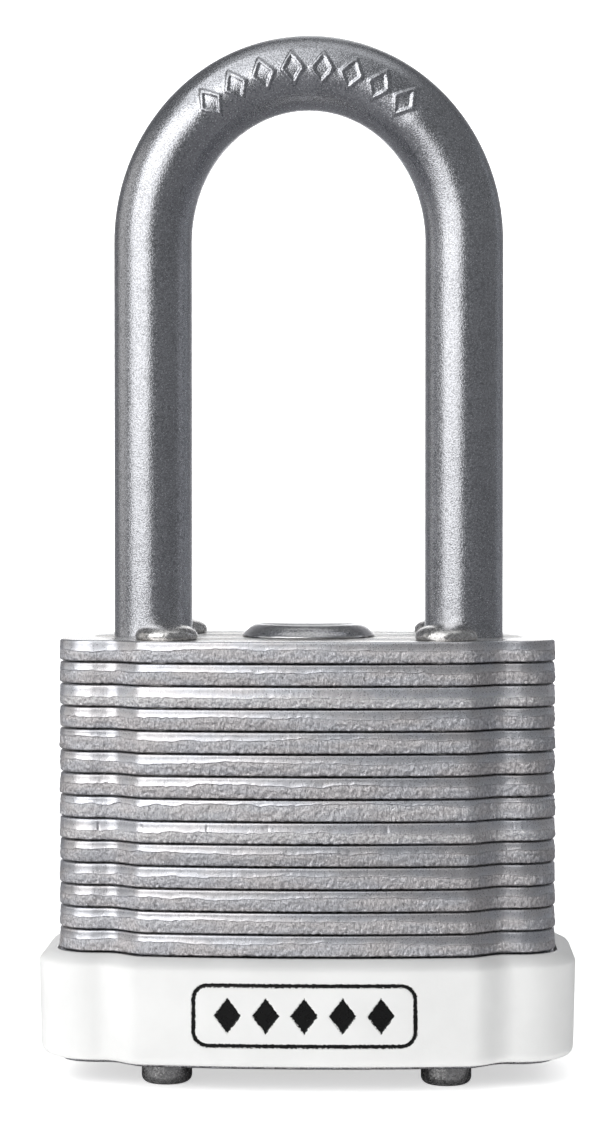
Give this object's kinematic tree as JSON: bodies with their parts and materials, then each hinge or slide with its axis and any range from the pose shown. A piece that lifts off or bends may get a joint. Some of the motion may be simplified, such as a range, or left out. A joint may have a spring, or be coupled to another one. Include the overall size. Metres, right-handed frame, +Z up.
{
  "type": "laminated padlock",
  "caption": "Long-shackle laminated steel padlock: stacked plates on rivets, white plastic bumper round the foot, pin tumbler cylinder, cam and two sliding locking dogs.",
  "frame": {"origin": "centre of the footprint, level with the flat lower ends of the four rivets that the lock stands on", "axes": "+Z up towards the shackle's bow, -Y out of the front face, +X towards the shackle's toe (the leg that comes free)"},
  "size_m": [0.0502, 0.027, 0.0981],
  "materials": {
    "plate_steel": "stamped steel plate, edges burnished at the top of the cut and torn below",
    "rivet_steel": "satin steel rivets with domed heads",
    "bright_steel": "bright pressed steel cap",
    "white_plastic": "white moulded plastic with a fine satin grain",
    "shackle_steel": "satin plated hardened steel with a fine speckle",
    "spring_steel": "drawn spring wire",
    "inner_steel": "machined steel",
    "brass": "turned and drilled brass"
  },
  "bodies": {
    "base": {"plate_01": "plate_steel", "plate_02": "plate_steel", "plate_03": "plate_steel", "plate_04": "plate_steel", "plate_05": "plate_steel", "plate_06": "plate_steel", "plate_07": "plate_steel", "plate_08": "plate_steel", "plate_09": "plate_steel", "plate_10": "plate_steel", "plate_11": "plate_steel", "plate_12": "plate_steel", "plate_13": "plate_steel", "plate_14": "plate_steel", "plate_15": "plate_steel", "plate_16": "plate_steel", "plate_17": "plate_steel", "plate_18": "plate_steel", "plate_19": "plate_steel", "rivet_front_left": "rivet_steel", "rivet_front_right": "rivet_steel", "rivet_back_left": "rivet_steel", "rivet_back_right": "rivet_steel", "top_cap": "bright_steel", "bumper": "white_plastic", "heel_retainer": "inner_steel", "cylinder_housing": "brass", "spring_cover": "brass", "shackle_spring": "spring_steel", "dog_spring": "spring_steel", "pin_spring_1": "spring_steel", "pin_spring_2": "spring_steel", "pin_spring_3": "spring_steel", "pin_spring_4": "spring_steel"},
    "shackle": {"shackle": "shackle_steel"},
    "plug": {"plug": "brass", "plug_clip": "spring_steel", "cam": "inner_steel"},
    "toe_dog": {"toe_dog": "inner_steel"},
    "heel_dog": {"heel_dog": "inner_steel"},
    "key_pin_1": {"key_pin_1": "brass"},
    "key_pin_2": {"key_pin_2": "brass"},
    "key_pin_3": {"key_pin_3": "brass"},
    "key_pin_4": {"key_pin_4": "brass"},
    "driver_pin_1": {"driver_pin_1": "brass"},
    "driver_pin_2": {"driver_pin_2": "brass"},
    "driver_pin_3": {"driver_pin_3": "brass"},
    "driver_pin_4": {"driver_pin_4": "brass"}
  },
  "joints": [
    {"name": "shackle_lift", "type": "slide", "parent": "base", "child": "shackle", "axis": [0, 0, 1], "range_m": [0, 0.0121], "deforming": ["shackle_spring"]},
    {"name": "plug_turn", "type": "hinge", "parent": "base", "child": "plug", "pos_m": [0, 0, 0.015], "axis": [0, 0, 1], "range_deg": [0, 90]},
    {"name": "toe_dog_slide", "type": "slide", "parent": "base", "child": "toe_dog", "axis": [1, 0, 0], "range_m": [0, 0.0016], "deforming": ["dog_spring"]},
    {"name": "heel_dog_slide", "type": "slide", "parent": "base", "child": "heel_dog", "axis": [-1, 0, 0], "range_m": [0, 0.0016]},
    {"name": "key_pin_1_drop", "type": "slide", "parent": "plug", "child": "key_pin_1", "axis": [0, 1, 0], "range_m": [0, 0.0008]},
    {"name": "key_pin_2_drop", "type": "slide", "parent": "plug", "child": "key_pin_2", "axis": [0, 1, 0], "range_m": [0, 0.0008]},
    {"name": "key_pin_3_drop", "type": "slide", "parent": "plug", "child": "key_pin_3", "axis": [0, 1, 0], "range_m": [0, 0.0008]},
    {"name": "key_pin_4_drop", "type": "slide", "parent": "plug", "child": "key_pin_4", "axis": [0, 1, 0], "range_m": [0, 0.0008]},
    {"name": "driver_pin_1_push", "type": "slide", "parent": "base", "child": "driver_pin_1", "axis": [1, 0, 0], "range_m": [0, 0.0016], "deforming": ["pin_spring_1"]},
    {"name": "driver_pin_2_push", "type": "slide", "parent": "base", "child": "driver_pin_2", "axis": [1, 0, 0], "range_m": [0, 0.0016], "deforming": ["pin_spring_2"]},
    {"name": "driver_pin_3_push", "type": "slide", "parent": "base", "child": "driver_pin_3", "axis": [1, 0, 0], "range_m": [0, 0.0016], "deforming": ["pin_spring_3"]},
    {"name": "driver_pin_4_push", "type": "slide", "parent": "base", "child": "driver_pin_4", "axis": [1, 0, 0], "range_m": [0, 0.0016], "deforming": ["pin_spring_4"]}
  ],
  "couplings": [
    {"joint": "toe_dog_slide", "follows": "plug_turn", "m_per_rad": 0.0010186},
    {"joint": "heel_dog_slide", "follows": "plug_turn", "m_per_rad": 0.0010186}
  ]
}
